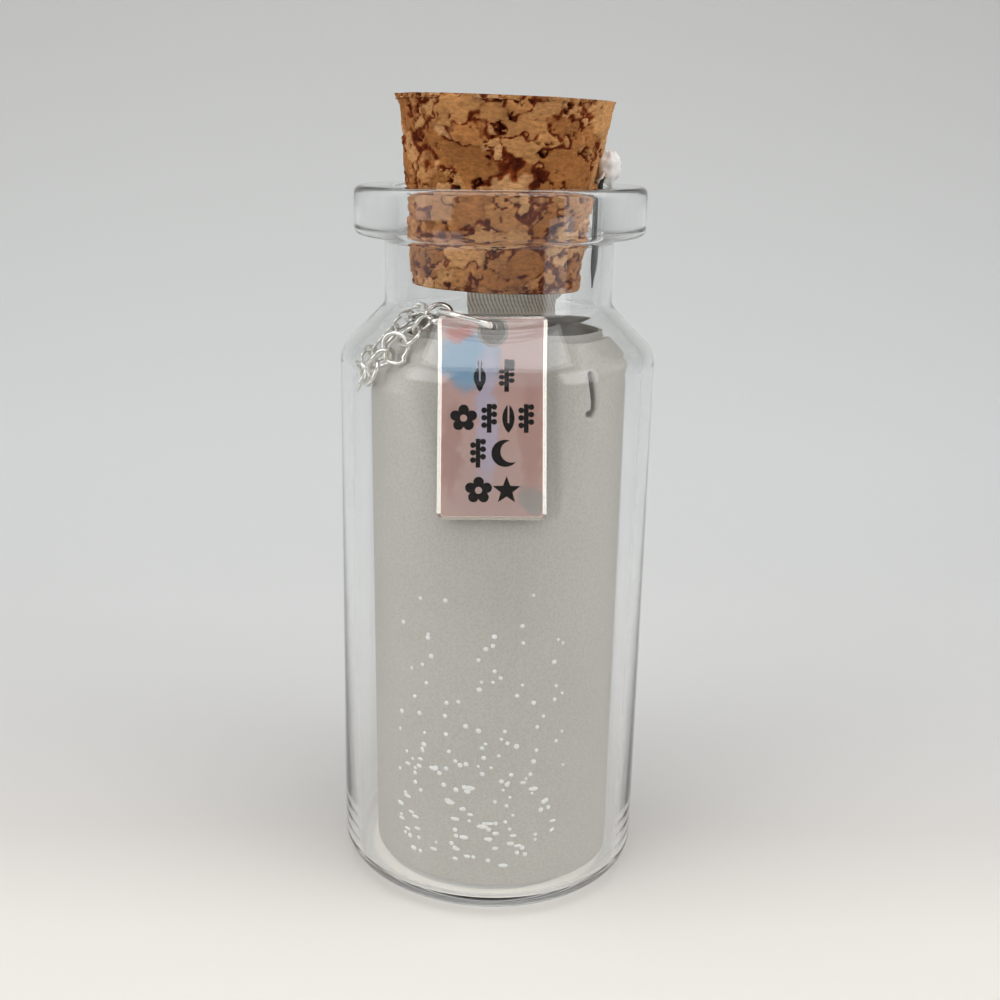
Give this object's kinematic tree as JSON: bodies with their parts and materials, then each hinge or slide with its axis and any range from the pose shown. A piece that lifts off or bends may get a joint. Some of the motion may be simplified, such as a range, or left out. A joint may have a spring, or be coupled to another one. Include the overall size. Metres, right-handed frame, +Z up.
{
  "type": "message bottle with tag necklace",
  "caption": "Corked glass vial holding a rolled paper, a woven tape and a rectangular silver tag pendant on a jump ring and a fine cable chain.",
  "frame": {"origin": "middle of the bottle's foot, on the surface that it stands on", "axes": "+Z up the bottle's axis to the cork, -Y towards the front with the tag, +X to the viewer's right"},
  "size_m": [0.022, 0.022, 0.0561],
  "materials": {
    "clear_glass": "clear, smooth",
    "cork": "matt agglomerated cork with open grain pits",
    "paper": "matt coated paper",
    "woven_tape": "ribbed woven cotton",
    "silver_tag": "polished silver, punched marks darkened",
    "silver_chain": "polished silver wire"
  },
  "bodies": {
    "vial": {"bottle": "clear_glass", "paper_roll": "paper", "tape": "woven_tape", "tag": "silver_tag", "jump_ring": "silver_chain", "chain_front": "silver_chain", "chain_back": "silver_chain", "clasp": "silver_chain"},
    "cork": {"cork": "cork"}
  },
  "joints": [
    {"name": "cork_pull", "type": "slide", "parent": "vial", "child": "cork", "axis": [0, 0, 1], "range_m": [0, 0.014]}
  ]
}
